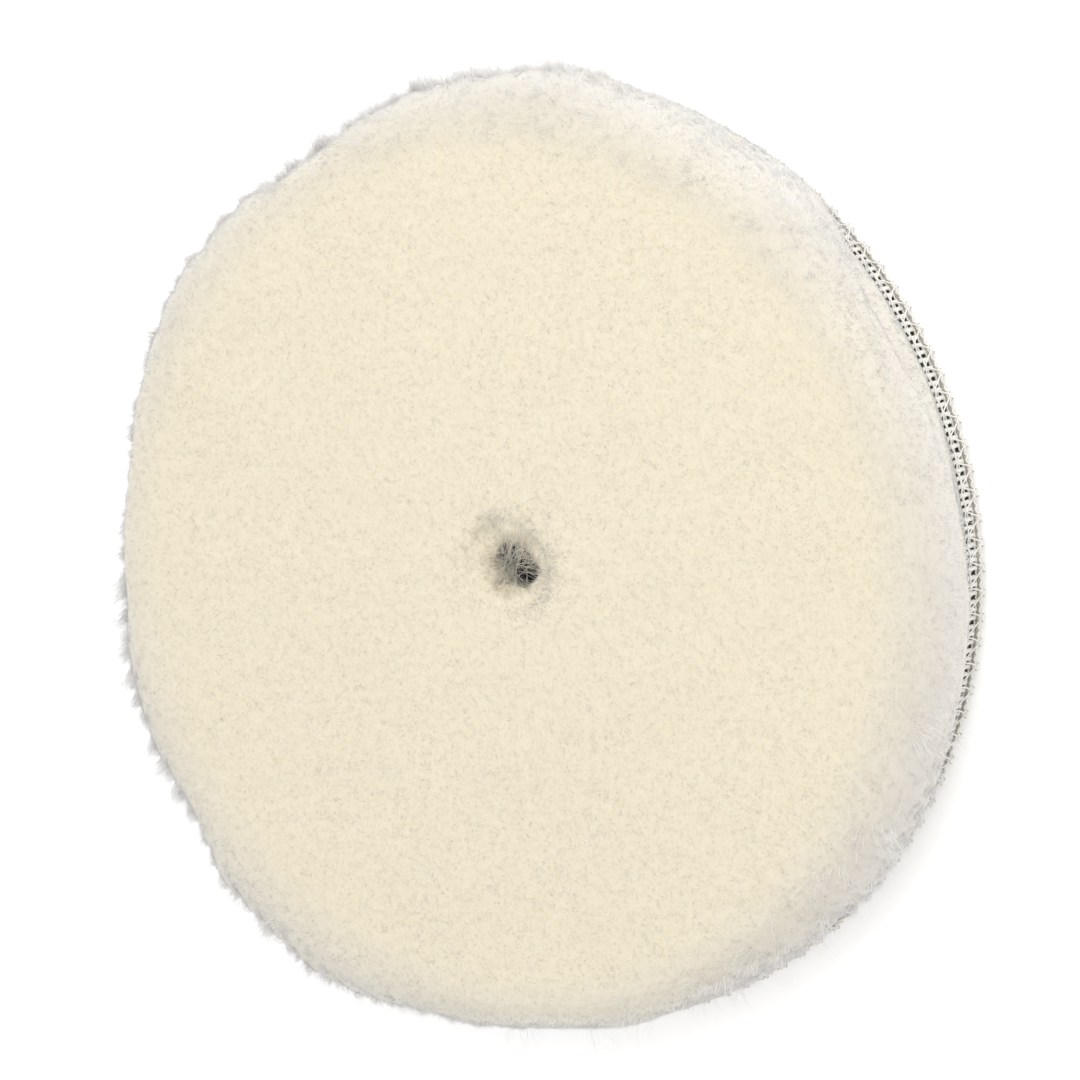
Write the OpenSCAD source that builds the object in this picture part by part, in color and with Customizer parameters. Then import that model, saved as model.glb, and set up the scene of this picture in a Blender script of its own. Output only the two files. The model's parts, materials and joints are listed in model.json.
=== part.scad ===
// Wool polishing pad: cut wool pile on a knitted cloth, cupped over a foam core,
// with a hook-and-loop backing and a three-thread overlock seam round the rim.
// Millimetres. +Z points out of the wool face. The loop face lies on z = 0.

/* [Pad] */
// Diameter over the knitted cloth at the rim
pad_d = 176; // [120:1:220]
// Diameter of the centring hole through every layer
hole_d = 13; // [10:1:24]

/* [Wool pile] */
// Height of the cut pile above the knitted cloth
pile_h = 13; // [8:0.5:25]
// How far the pile stands out past the cloth at the rim
pile_flare = 3; // [1:0.5:8]
// Radius of the pile's edge round the wool face
pile_round = 9; // [4:0.5:14]
// Lean of the pile's flank out from the side wall, in degrees
pile_lean = 26; // [10:1:35]
// How far the pile stands out from the side wall where it starts above the seam
pile_start = 0.6; // [0.3:0.1:1]
// Radius of the pile's lip round the centring hole
pile_lip = 4; // [1:0.5:6]
// How far the pile's roots stay back from the centring hole
pile_root_gap = 1; // [0.5:0.25:3]

/* [Knitted cloth] */
// Thickness of the knitted cloth
knit_t = 1; // [0.6:0.1:1.6]
// Thickness of the latex coat that holds the wool's roots
coat_t = 0.3; // [0.2:0.05:0.6]
// Outer radius of the cloth where it bends over the foam's edge
cup_round = 4.5; // [3:0.5:7]

/* [Foam core] */
// Thickness of the foam core
foam_t = 8; // [6:0.5:15]
// Thickness of each film of hot-melt glue
glue_t = 0.2; // [0.1:0.05:0.4]

/* [Loop backing] */
// Thickness of the woven ground of the loop cloth
loop_cloth_t = 0.5; // [0.3:0.05:1]
// Depth of the raised loops
nap_t = 1.6; // [1.3:0.1:3]

/* [Overlock seam] */
// Width of the seam, up the side wall and in from the rim on the back
seam_w = 5; // [3:0.5:6]
// Length of one overlock stitch round the rim
stitch_pitch = 4.6; // [3:0.1:6]
// Diameter of the sewing thread
thread_d = 0.5; // [0.3:0.05:0.6]
// Gap between the thread and what it lies on
thread_gap = 0.1; // [0.1:0.05:0.2]
// Gap left between the seam and the pile, and between the seam and the nap
seam_gap = 1.5; // [0.5:0.1:3]

/* [Hidden] */
$fn = 96;

pad_r = pad_d / 2;
hole_r = hole_d / 2;
cut = 1;

// Heights of the layers, from the loop face up
loop_cloth_z = nap_t;
back_glue_z = loop_cloth_z + loop_cloth_t;
foam_z = back_glue_z + glue_t;
face_glue_z = foam_z + foam_t;
coat_z = face_glue_z + glue_t;
knit_z = coat_z + coat_t;
cloth_top = knit_z + knit_t;
face_z = cloth_top + pile_h;

// The rim seam
thread_r = thread_d / 2;
thread_off = thread_gap + thread_r;
thread_sides = 6;
stitches = round(PI * pad_d / stitch_pitch);
step = 360 / stitches;
thread_wall_r = pad_r + thread_off;
thread_back_z = loop_cloth_z - thread_off;
edge_line_z = loop_cloth_z + thread_off;
needle_line_z = loop_cloth_z + seam_w;
seam_top_z = needle_line_z + thread_r;
looper_top_z = needle_line_z - thread_d - thread_gap;
looper_back_r = pad_r - seam_w;
// Share of a stitch that a looper's turn takes, and where its far turn lies
turn = 0.07;
far_turn = 0.36;

// The cloth bends in above the seam, and its inner radii are each one layer in from the last
cloth_round = min(cup_round, cloth_top - seam_top_z);
coat_r = pad_r - knit_t;
core_r = coat_r - coat_t;
coat_round = cloth_round - knit_t;
core_round = coat_round - coat_t;

// The pile starts just above the seam, and the nap ends just inside it
pile_low_z = seam_top_z + seam_gap;
pile_r = pad_r + pile_flare;
pile_side_z = pile_low_z + (pile_flare - pile_start) / tan(pile_lean);
pile_edge = min(pile_round, face_z - pile_side_z - cut);
nap_r = looper_back_r - thread_r - seam_gap;

// A half section: a plate from the axis to a radius, from low to high, its upper edge rounded
module plate_section(radius, low, high, edge) {
    translate([0, low])
        square([radius - edge, high - low]);
    translate([0, low])
        square([radius, high - edge - low]);
    translate([radius - edge, high - edge])
        circle(edge);
}

// Turns a half section round the axis and leaves the centring hole open
module ring(inner_r) {
    rotate_extrude($fn = 180)
        difference() {
            children();
            translate([-pad_d, -pad_d])
                square([pad_d + inner_r, 2 * pad_d]);
        }
}

module wool_pile() {
    color("cornsilk")
    ring(hole_r + pile_root_gap)
        difference() {
            union() {
                plate_section(pile_r, pile_side_z, face_z, pile_edge);
                polygon([[0, pile_low_z], [pad_r + pile_start, pile_low_z],
                    [pile_r, pile_side_z], [0, pile_side_z]]);
            }
            plate_section(pad_r, 0, cloth_top, cloth_round);
            lip_corner();
        }
}

// What is left outside the rounded lip of the pile at the centring hole
module lip_corner() {
    lip_r = hole_r + pile_root_gap + pile_lip;
    difference() {
        translate([hole_r, face_z - pile_lip])
            square([lip_r - hole_r, pile_lip + cut]);
        translate([lip_r, face_z - pile_lip])
            circle(pile_lip);
    }
}

module knitted_cloth() {
    color("ivory")
    ring(hole_r)
        difference() {
            plate_section(pad_r, back_glue_z, cloth_top, cloth_round);
            plate_section(coat_r, back_glue_z - cut, knit_z, coat_round);
        }
}

module root_coat() {
    color("lightyellow")
    ring(hole_r)
        difference() {
            plate_section(coat_r, back_glue_z, knit_z, coat_round);
            plate_section(core_r, back_glue_z - cut, coat_z, core_round);
        }
}

module face_glue_film() {
    color("wheat")
    ring(hole_r)
        translate([0, face_glue_z])
            square([core_r - core_round, glue_t]);
}

module foam_core() {
    color("dimgray")
    ring(hole_r)
        plate_section(core_r, foam_z, face_glue_z, core_round);
}

module back_glue_film() {
    color("wheat")
    ring(hole_r)
        translate([0, back_glue_z])
            square([core_r, glue_t]);
}

module loop_cloth() {
    color("slategray")
    ring(hole_r)
        translate([0, loop_cloth_z])
            square([pad_r, loop_cloth_t]);
}

module loop_nap() {
    color("gray")
    ring(hole_r)
        square([nap_r, nap_t]);
}

// A point on a circle round the axis: [angle, radius, height] to [x, y, z]
function at(p) = [p[1] * cos(p[0]), p[1] * sin(p[0]), p[2]];
function unit(v) = v / norm(v);

// One ring of a thread's surface, square to its path at that point
function thread_ring(before, here, after) =
    let (
        along = unit(after - before),
        out = unit([here[0], here[1], 0]),
        side = unit(cross(along, out)),
        up = cross(side, along)
    )
    [for (k = [0 : thread_sides - 1])
        let (a = 360 * k / thread_sides)
        here + thread_r * (cos(a) * up + sin(a) * side)];

// A thread that closes on itself, along a list of [angle, radius, height]
module closed_thread(path) {
    n = len(path);
    points = [for (p = path) at(p)];
    rings = [for (i = [0 : n - 1])
        each thread_ring(points[(i + n - 1) % n], points[i], points[(i + 1) % n])];
    faces = [for (i = [0 : n - 1], k = [0 : thread_sides - 1])
        let (
            a = i * thread_sides + k,
            b = i * thread_sides + (k + 1) % thread_sides,
            c = ((i + 1) % n) * thread_sides + (k + 1) % thread_sides,
            d = ((i + 1) % n) * thread_sides + k
        )
        each [[a, b, c], [a, c, d]]];
    polyhedron(rings, faces);
}

// Runs along the seam's upper line
module needle_thread() {
    color("white")
    rotate_extrude($fn = 180)
        translate([thread_wall_r, needle_line_z])
            circle(thread_r);
}

// Goes up the side wall from the rim to the needle thread and slants back down
module upper_looper_thread() {
    low = edge_line_z + thread_d;
    color("white")
    closed_thread([for (i = [0 : stitches - 1])
        each [
            [(i - turn) * step, thread_wall_r, low],
            [(i + turn) * step, thread_wall_r, low],
            [(i + far_turn - turn) * step, thread_wall_r, looper_top_z],
            [(i + far_turn + turn) * step, thread_wall_r, looper_top_z]
        ]]);
}

// Goes in from the rim across the back of the loop cloth and slants back out, round the rim's corner
module lower_looper_thread() {
    color("white")
    closed_thread([for (i = [0 : stitches - 1])
        each [
            [(i - turn) * step, thread_wall_r, edge_line_z - thread_gap],
            [(i + turn) * step, thread_wall_r, edge_line_z - thread_gap],
            [(i + 2 * turn) * step, thread_wall_r, thread_back_z],
            [(i + far_turn) * step, looper_back_r, thread_back_z],
            [(i + far_turn + 2 * turn) * step, looper_back_r, thread_back_z],
            [(i + 1 - 2 * turn) * step, thread_wall_r, thread_back_z]
        ]]);
}

wool_pile();
knitted_cloth();
root_coat();
face_glue_film();
foam_core();
back_glue_film();
loop_cloth();
loop_nap();
needle_thread();
upper_looper_thread();
lower_looper_thread();
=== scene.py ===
"""A wool polishing pad, wool face up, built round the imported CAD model."""

import itertools
import json
import math

import bpy
import numpy as np
from mathutils import Matrix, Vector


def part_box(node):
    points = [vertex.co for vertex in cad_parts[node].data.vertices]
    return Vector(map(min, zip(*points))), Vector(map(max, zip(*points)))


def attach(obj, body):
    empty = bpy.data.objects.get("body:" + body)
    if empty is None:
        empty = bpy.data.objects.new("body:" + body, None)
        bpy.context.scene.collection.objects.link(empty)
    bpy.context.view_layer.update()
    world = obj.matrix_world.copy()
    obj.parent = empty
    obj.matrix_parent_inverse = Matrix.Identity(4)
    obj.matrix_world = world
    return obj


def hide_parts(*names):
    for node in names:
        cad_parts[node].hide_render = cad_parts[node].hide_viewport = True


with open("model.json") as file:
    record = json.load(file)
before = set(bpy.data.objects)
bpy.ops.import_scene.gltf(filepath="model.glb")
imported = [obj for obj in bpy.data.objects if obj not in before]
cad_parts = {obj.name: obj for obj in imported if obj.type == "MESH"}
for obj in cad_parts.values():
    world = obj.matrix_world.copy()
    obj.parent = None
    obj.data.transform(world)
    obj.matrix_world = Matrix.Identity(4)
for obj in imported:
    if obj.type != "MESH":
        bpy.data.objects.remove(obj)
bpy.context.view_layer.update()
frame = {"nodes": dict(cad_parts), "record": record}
record = frame["record"]

MM = 0.001
TAU = 2 * math.pi
GOLDEN = math.pi * (3 - math.sqrt(5))
MOST_TRIANGLES = 198000  # in one mesh of fibres

# What the CAD model says, in metres
PAD_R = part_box("knitted_cloth")[1][0]
CLOTH_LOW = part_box("knitted_cloth")[0][2]
CLOTH_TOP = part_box("knitted_cloth")[1][2]
COAT_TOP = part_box("root_coat")[1][2]
FLAT_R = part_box("face_glue_film")[1][0]
BACK_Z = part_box("loop_cloth")[0][2]
NAP_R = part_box("loop_nap")[1][0]
THREAD_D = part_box("needle_thread")[1][2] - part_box("needle_thread")[0][2]
THREAD_R = THREAD_D / 2
THREAD_WALL_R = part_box("needle_thread")[1][0] - THREAD_R
NEEDLE_Z = (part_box("needle_thread")[1][2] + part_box("needle_thread")[0][2]) / 2
PILE_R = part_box("wool_pile")[1][0]
PILE_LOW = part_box("wool_pile")[0][2]
FACE_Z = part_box("wool_pile")[1][2]
HOLE_R = next(m for m in record["mounts"] if m["name"] == "centre_hole")["dims"]["r_mm"] * MM
STITCHES = 120  # round the seam, as in the CAD model
WALES = 360  # columns of loops in the knitted cloth


# ---------------------------------------------------------------- camera, floor and light

TILT = math.radians(31)  # between the pad's axis and the line of sight
ROLL = math.radians(12)  # how far the near side lies above the picture's right
LENS, SENSOR = 300.0, 36.0
FIELD = 0.2027  # width of the view at the pad
AIM = np.array([0.0, 0.0, 0.0125])
OFF_CENTRE = (0.4 * MM, 3.7 * MM)  # how far right of and above the pad's middle the camera points
WORLD_STRENGTH = 0.97
KEY_PLACE, KEY_SIZE, KEY_POWER = AIM + np.array([0.38, -0.32, 0.56]), 0.6, 2.4
FLOOR_SIZE, FLOOR_GAP = 6, 0.1 * MM
FLOOR_GLOW = 0.2  # brings the floor to the white of a studio backdrop


def add_camera():
    s, c = math.sin(TILT), math.cos(TILT)
    back = np.array([0, -s, c])
    near = np.array([0, -c, -s])
    along = np.array([1.0, 0, 0])
    right = math.cos(ROLL) * near - math.sin(ROLL) * along
    up = math.sin(ROLL) * near + math.cos(ROLL) * along
    data = bpy.data.cameras.new("camera")
    data.lens, data.sensor_width = LENS, SENSOR
    data.clip_start, data.clip_end = 0.01, 20
    place = AIM + OFF_CENTRE[0] * right + OFF_CENTRE[1] * up + back * FIELD * LENS / SENSOR
    cam = bpy.data.objects.new("camera", data)
    cam.matrix_world = Matrix([[right[i], up[i], back[i], place[i]] for i in range(3)] + [[0, 0, 0, 1]])
    bpy.context.scene.collection.objects.link(cam)
    bpy.context.scene.camera = cam


def add_area(name, place, size, power):
    """A round lamp at place that faces the pad."""
    data = bpy.data.lights.new(name, "AREA")
    data.shape, data.size, data.energy = "DISK", size, power
    lamp = bpy.data.objects.new(name, data)
    back = (place - AIM) / np.linalg.norm(place - AIM)
    side = np.cross([0.0, 1.0, 0.0], back)
    side /= np.linalg.norm(side)
    up = np.cross(back, side)
    lamp.matrix_world = Matrix([[side[i], up[i], back[i], place[i]] for i in range(3)] + [[0, 0, 0, 1]])
    bpy.context.scene.collection.objects.link(lamp)


def add_floor():
    bpy.ops.mesh.primitive_plane_add(size=FLOOR_SIZE, location=(0, 0, -FLOOR_GAP))
    floor = bpy.context.object
    floor.name = "floor"
    material, _, shader = nodes_of("floor")
    shader.inputs["Base Color"].default_value = (0.97, 0.97, 0.97, 1)
    shader.inputs["Emission Color"].default_value = (1, 1, 1, 1)
    shader.inputs["Emission Strength"].default_value = FLOOR_GLOW
    shader.inputs["Roughness"].default_value = 0.9
    floor.data.materials.append(material)


def light_scene():
    scene = bpy.context.scene
    scene.view_settings.view_transform = "Standard"
    scene.cycles.diffuse_bounces = 8
    world = bpy.data.worlds.new("studio")
    world.use_nodes = True
    background = world.node_tree.nodes["Background"]
    background.inputs["Color"].default_value = (1, 1, 1, 1)
    background.inputs["Strength"].default_value = WORLD_STRENGTH
    scene.world = world
    add_area("key_light", KEY_PLACE, KEY_SIZE, KEY_POWER)


# ---------------------------------------------------------------- materials

def nodes_of(name):
    """A new material, its node tree and its shader."""
    m = bpy.data.materials.new(name)
    m.use_nodes = True
    tree = m.node_tree
    return m, tree, tree.nodes["Principled BSDF"]


def add(tree, kind, **values):
    """A new node, with each value set on the socket or else the property of that name."""
    node = tree.nodes.new(kind)
    for key, value in values.items():
        if key in node.inputs:
            node.inputs[key].default_value = value
        else:
            setattr(node, key, value)
    return node


def ramp(tree, source, stops):
    """A colour ramp fed by source, with stops as [(position, (r, g, b))]."""
    node = tree.nodes.new("ShaderNodeValToRGB")
    e = node.color_ramp.elements
    while len(e) < len(stops):
        e.new(0.5)
    for item, (place, colour) in zip(e, stops):
        item.position = place
        item.color = (*colour, 1)
    tree.links.new(source, node.inputs["Fac"])
    return node.outputs["Color"]


def mixed(tree, a, b, factor, blend="MIX"):
    """Two colours mixed. a, b and factor are sockets, or a colour or number."""
    node = tree.nodes.new("ShaderNodeMix")
    node.data_type, node.blend_type = "RGBA", blend
    for socket, value in ((node.inputs[0], factor), (node.inputs[6], a), (node.inputs[7], b)):
        if isinstance(value, bpy.types.NodeSocket):
            tree.links.new(value, socket)
        elif isinstance(value, tuple):
            socket.default_value = (*value, 1)
        else:
            socket.default_value = value
    return node.outputs[2]


def textured(tree, place, kind, **values):
    """A texture node read at the object's own coordinates."""
    node = add(tree, kind, **values)
    tree.links.new(place.outputs["Object"], node.inputs["Vector"])
    return node


def bumped(tree, shader, height, strength, distance, invert=False):
    """Lifts the shader's surface by the height socket."""
    lift = add(tree, "ShaderNodeBump", Strength=strength, Distance=distance, invert=invert)
    tree.links.new(height, lift.inputs["Height"])
    tree.links.new(lift.outputs["Normal"], shader.inputs["Normal"])


def soft(shader, sheen, scale):
    """Wool's own finish: matte, with light passing through it over about scale metres."""
    shader.inputs["Roughness"].default_value = 0.85
    shader.inputs["Specular IOR Level"].default_value = 0.2
    shader.inputs["Sheen Weight"].default_value = sheen
    shader.inputs["Sheen Roughness"].default_value = 0.5
    shader.inputs["Sheen Tint"].default_value = (1, 0.98, 0.94, 1)
    shader.inputs["Subsurface Weight"].default_value = 0.7
    shader.inputs["Subsurface Radius"].default_value = (1.0, 0.9, 0.75)
    shader.inputs["Subsurface Scale"].default_value = scale


def fibre_material(name, face, rim):
    """Wool fibres. Colours go from root to tip. v, a fibre's tone, takes it from rim's to face's; the rim's
    colours are painted shade, and the fringe's face colours painted light.
    """
    m, tree, shader = nodes_of(name)
    uv = add(tree, "ShaderNodeUVMap", uv_map="OFBake")
    parts = add(tree, "ShaderNodeSeparateXYZ")
    tree.links.new(uv.outputs["UV"], parts.inputs[0])
    ends = [ramp(tree, parts.outputs["X"], list(zip((0.0, 0.5, 1.0), colours))) for colours in (rim, face)]
    # share: how much of the rim's painted shade a fibre takes, falling as its tone v rises
    share = ramp(tree, parts.outputs["Y"], [(0.15, (0, 0, 0)), (0.75, (1, 1, 1))])
    tone = ramp(tree, parts.outputs["Y"], [(0.6, (0.975, 0.965, 0.945)), (0.95, (1, 1, 1))])
    colour = mixed(tree, ends[0], mixed(tree, ends[1], tone, 1.0, "MULTIPLY"), share)
    tree.links.new(colour, shader.inputs["Base Color"])
    soft(shader, 0.3, 0.8 * MM)
    return m


def under_wool_material(name, face, rim):
    """The dense wool under the tips, whose colour turns from the face's to the rim's painted shade towards
    its edge.
    """
    turn, grain_size = 14 * MM, 1.6 * MM
    m, tree, shader = nodes_of(name)
    place = add(tree, "ShaderNodeTexCoord")
    flat = add(tree, "ShaderNodeVectorMath", operation="MULTIPLY")
    flat.inputs[1].default_value = (1, 1, 0)
    tree.links.new(place.outputs["Object"], flat.inputs[0])
    radius = add(tree, "ShaderNodeVectorMath", operation="LENGTH")
    tree.links.new(flat.outputs[0], radius.inputs[0])
    # share: how much painted shade the under-wool takes, rising over the last turn metres to the edge
    share = add(tree, "ShaderNodeMapRange")
    for key, value in (("From Min", PILE_R - turn), ("From Max", PILE_R)):
        share.inputs[key].default_value = value
    tree.links.new(radius.outputs["Value"], share.inputs["Value"])
    grain = textured(tree, place, "ShaderNodeTexNoise", Scale=1 / grain_size, Detail=4.0, Roughness=0.6)
    speck = ramp(tree, grain.outputs["Fac"], [(0.3, (0.975, 0.97, 0.955)), (0.7, (1, 1, 1))])
    colour = mixed(tree, mixed(tree, face, rim, share.outputs[0]), speck, 1.0, "MULTIPLY")
    tree.links.new(colour, shader.inputs["Base Color"])
    soft(shader, 0.2, 1.0 * MM)
    return m


def mottled_material(name, low, high, size, roughness, bump, bump_size=None, sheen=0.0):
    """A soft or matte surface whose colour wanders between low and high over about size metres."""
    m, tree, shader = nodes_of(name)
    place = add(tree, "ShaderNodeTexCoord")
    blotch = textured(tree, place, "ShaderNodeTexNoise", Scale=1 / size, Detail=6.0, Roughness=0.6)
    tree.links.new(ramp(tree, blotch.outputs["Fac"], [(0.3, low), (0.7, high)]), shader.inputs["Base Color"])
    shader.inputs["Roughness"].default_value = roughness
    shader.inputs["Sheen Weight"].default_value = sheen
    grain = textured(tree, place, "ShaderNodeTexNoise", Scale=1 / (bump_size or size), Detail=4.0)
    bumped(tree, shader, grain.outputs["Fac"], 0.7, bump)
    return m


def foam_material(name):
    """Open-cell foam: paler walls, and painted shade darkening each cell towards its middle."""
    cell = 0.55 * MM
    wall, near_wall, middle = (0.075, 0.08, 0.072), (0.045, 0.049, 0.044), (0.014, 0.015, 0.014)
    m, tree, shader = nodes_of(name)
    place = add(tree, "ShaderNodeTexCoord")
    cells = textured(tree, place, "ShaderNodeTexVoronoi", feature="DISTANCE_TO_EDGE", Scale=1 / cell)
    # painted shade in the cell hollows, darkest at each cell's middle
    colour = ramp(tree, cells.outputs["Distance"], [(0.0, wall), (0.12, near_wall), (0.4, middle)])
    tree.links.new(colour, shader.inputs["Base Color"])
    shader.inputs["Roughness"].default_value = 0.8
    bumped(tree, shader, cells.outputs["Distance"], 0.8, 0.15 * MM, invert=True)
    return m


def yarn_material(name, low, high):
    """Spun yarn: matte, with a fine fibrous grain."""
    grain = 0.22 * MM
    m, tree, shader = nodes_of(name)
    place = add(tree, "ShaderNodeTexCoord")
    fluff = textured(tree, place, "ShaderNodeTexNoise", Scale=1 / grain, Detail=3.0, Roughness=0.7)
    tree.links.new(ramp(tree, fluff.outputs["Fac"], [(0.25, low), (0.7, high)]), shader.inputs["Base Color"])
    shader.inputs["Roughness"].default_value = 0.75
    shader.inputs["Sheen Weight"].default_value = 0.3
    bumped(tree, shader, fluff.outputs["Fac"], 0.6, 0.05 * MM)
    return m


def woven_material(name, low, high, pitch):
    """Plain weave seen from either side."""
    m, tree, shader = nodes_of(name)
    place = add(tree, "ShaderNodeTexCoord")
    both = add(tree, "ShaderNodeMath", operation="MULTIPLY")
    for i, direction in enumerate("XY"):
        wave = textured(
            tree, place, "ShaderNodeTexWave",
            bands_direction=direction, Scale=1 / (pitch * 3.2), Distortion=0.6, Detail=2.0,
        )
        tree.links.new(wave.outputs["Fac"], both.inputs[i])
    tree.links.new(ramp(tree, both.outputs[0], [(0.1, low), (0.8, high)]), shader.inputs["Base Color"])
    shader.inputs["Roughness"].default_value = 0.85
    bumped(tree, shader, both.outputs[0], 0.7, 0.1 * MM)
    return m


# ---------------------------------------------------------------- meshes

def add_mesh(name, verts, faces, material, uv=None):
    """A smooth mesh from vertices (n, 3) and face arrays, each (m, 3) or (m, 4). uv is one per vertex."""
    me = bpy.data.meshes.new(name)
    loops = np.concatenate([f.ravel() for f in faces]).astype(np.int32)
    totals = np.concatenate([np.full(len(f), f.shape[1]) for f in faces])
    starts = np.concatenate([[0], np.cumsum(totals)[:-1]]).astype(np.int32)
    me.vertices.add(len(verts))
    me.vertices.foreach_set("co", np.ascontiguousarray(verts, np.float32).ravel())
    me.loops.add(len(loops))
    me.loops.foreach_set("vertex_index", loops)
    me.polygons.add(len(starts))
    me.polygons.foreach_set("loop_start", starts)
    me.polygons.foreach_set("use_smooth", np.ones(len(starts), bool))
    if uv is not None:
        layer = me.uv_layers.new(name="OFBake")
        layer.uv.foreach_set("vector", np.ascontiguousarray(uv[loops], np.float32).ravel())
    me.update(calc_edges=True)
    me.materials.append(material)
    ob = bpy.data.objects.new(name, me)
    bpy.context.scene.collection.objects.link(ob)
    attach(ob, "root")
    return ob


def noise(p, size, seed):
    """Smooth noise from about -1 to 1 at points p (n, 3), with lumps about size across."""
    table = np.random.default_rng(seed).uniform(-1, 1, 8192)
    q = p / size + 1000.37
    cell = np.floor(q).astype(np.int64)
    f = q - cell
    f = f * f * (3 - 2 * f)
    out = np.zeros(len(p))
    for corner in itertools.product((0, 1), repeat=3):
        w = np.ones(len(p))
        key = np.zeros(len(p), np.int64)
        for axis, prime in zip(range(3), (73856093, 19349663, 83492791)):
            w *= f[:, axis] if corner[axis] else 1 - f[:, axis]
            key ^= (cell[:, axis] + corner[axis]) * prime
        out += w * table[key & 8191]
    return out * 1.4


def unit(v):
    return v / np.maximum(np.linalg.norm(v, axis=-1, keepdims=True), 1e-12)


def smooth_step(x, low, high):
    t = np.clip((x - low) / (high - low), 0, 1)
    return t * t * (3 - 2 * t)


def repeater(count):
    """A function that hands each tuft's value on to each of its fibres."""
    return lambda values: np.repeat(values, count, axis=0)


def moved(p, t1, t2, n, down, sideways, out):
    """Points p moved down the section along t1, round the pad along t2 and out along n."""
    return p + down[:, None] * t1 + sideways[:, None] * t2 + out[:, None] * n


def ring_faces(rows, count):
    """The quads of a (rows, count) grid of vertices that closes on itself both ways."""
    i, j = np.meshgrid(np.arange(rows), np.arange(count), indexing="ij")
    here, further, beside = i * count, (i + 1) % rows * count, (j + 1) % count
    return np.stack([here + j, here + beside, further + beside, further + j], axis=-1).reshape(-1, 4)


def fibre_geometry(paths, radii):
    """Closed three-sided spikes. paths is (n, k, 3) from root to tip, and radii is (n, k - 1).

    Returns vertices and faces, fibre by fibre, and the number of vertices in one.
    """
    n, k, _ = paths.shape
    d = unit(np.gradient(paths, axis=1))[:, : k - 1]
    ref = np.where(np.abs(d[:, :1, 2:3]) < 0.9, [[[0.0, 0, 1]]], [[[1.0, 0, 0]]])
    e1 = unit(np.cross(ref, d))
    e2 = np.cross(d, e1)
    a = TAU * np.arange(3) / 3
    ring = (
        np.cos(a)[None, None, :, None] * e1[:, :, None]
        + np.sin(a)[None, None, :, None] * e2[:, :, None]
    )
    ring = paths[:, : k - 1, None] + radii[:, :, None, None] * ring
    verts = np.concatenate([ring.reshape(n, -1, 3), paths[:, -1:]], axis=1)
    size = 3 * (k - 1) + 1
    quads = [
        [3 * j + i, 3 * j + (i + 1) % 3, 3 * (j + 1) + (i + 1) % 3, 3 * (j + 1) + i]
        for j in range(k - 2)
        for i in range(3)
    ]
    last = 3 * (k - 2)
    tris = [[0, 2, 1]] + [[last + i, last + (i + 1) % 3, size - 1] for i in range(3)]
    return verts, np.array(quads), np.array(tris), size


def add_fibres(name, paths, radii, tone, material):
    """Fibres as meshes of under MOST_TRIANGLES triangles each, split by their place round the pad."""
    n, k, _ = paths.shape
    verts, quads, tris, size = fibre_geometry(paths, radii)
    each = 2 * len(quads) + len(tris)
    pieces = math.ceil(n * each / MOST_TRIANGLES)
    angle = np.arctan2(paths[:, 0, 1], paths[:, 0, 0])
    u = np.concatenate([np.repeat(np.linspace(0.02, 0.9, k - 1), 3), [0.98]])
    v = np.concatenate([np.tile([-0.004, 0.0, 0.004], k - 1), [0.0]])
    for i, which in enumerate(np.array_split(np.argsort(angle, kind="stable"), pieces)):
        first = size * np.arange(len(which))[:, None, None]
        uv = np.stack(np.broadcast_arrays(u[None], 0.02 + 0.96 * tone[which][:, None] + v[None]), axis=-1)
        ob = add_mesh(
            f"{name}_{i + 1:02d}",
            verts[which].reshape(-1, 3),
            [(first + quads).reshape(-1, 4), (first + tris).reshape(-1, 3)],
            material,
            uv.reshape(-1, 2),
        )


def revolve(section, count):
    """A closed ring-shaped mesh from a closed outline of (r, z), anticlockwise in that plane."""
    a = TAU * np.arange(count) / count
    r, z = section[:, 0, None], section[:, 1, None]
    verts = np.stack([r * np.cos(a), r * np.sin(a), z + 0 * a], axis=-1)
    return verts.reshape(-1, 3), ring_faces(len(section), count)


def arc(centre, radius, start, end, count):
    a = np.radians(np.linspace(start, end, count))
    return np.stack([centre[0] + radius * np.cos(a), centre[1] + radius * np.sin(a)], axis=-1)


def line(a, b, step):
    n = max(2, math.ceil(math.dist(a, b) / step) + 1)
    return np.linspace(a, b, n)


def outline(*parts):
    """Joins runs of points and drops the repeated ones."""
    p = np.concatenate(parts)
    keep = np.linalg.norm(p - np.roll(p, 1, axis=0), axis=1) > 1e-7
    return p[keep]


# ---------------------------------------------------------------- the pile's outer shape

EDGE = 9 * MM  # radius round the wool face
LIP = 8 * MM  # width of the soft funnel round the centring hole
LIP_DEPTH = 3.3 * MM
MOUTH_R = 3.8 * MM  # how far in over the hole the wool leans
MOUTH_LOW = FACE_Z - LIP_DEPTH - 0.5 * MM
BODY_DEPTH = 0.28 * MM  # from the tips down to the dense under-wool
FLARE_START = 0.6 * MM
FLARE_LEAN = math.radians(26)
DROOP = 4.3 * MM  # how far the pile hangs over the seam where HANG is 1
SIDE_Z = PILE_LOW + (PILE_R - PAD_R - FLARE_START) / math.tan(FLARE_LEAN)
DEEPEST_DIP = -2.8  # in mm; the side falls no further below the plain section

# Each list below is [(degrees round the pad, value)], read through round_curve.
# How full the side is, in mm past the plain section
FULL = [
    (0, 0.2), (10, -1.4), (20, -3.8), (30, -0.5), (42, 0.2), (56, -0.7), (70, -3.8), (82, -2.4), (92, 0.0),
    (102, 0.2), (111, -0.6), (122, 2.0), (140, 2.4), (155, -1.0), (170, -2.8), (180, -2.0), (190, -2.6),
    (200, -2.0), (210, -0.8), (220, 1.2), (232, 1.4), (252, 0.8), (272, -1.2), (290, -3.2), (299, -1.2),
    (308, -0.3), (318, -1.2), (333, -0.4), (342, 1.8), (352, 0.6),
]
# How deep the side's lobes are, in mm
LOBES = [
    (0, 0.5), (30, 0.9), (65, 1.2), (100, 1.0), (135, 0.7), (160, 0.3), (200, 0.3), (240, 0.2), (290, 0.2),
    (330, 0.4),
]
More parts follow.
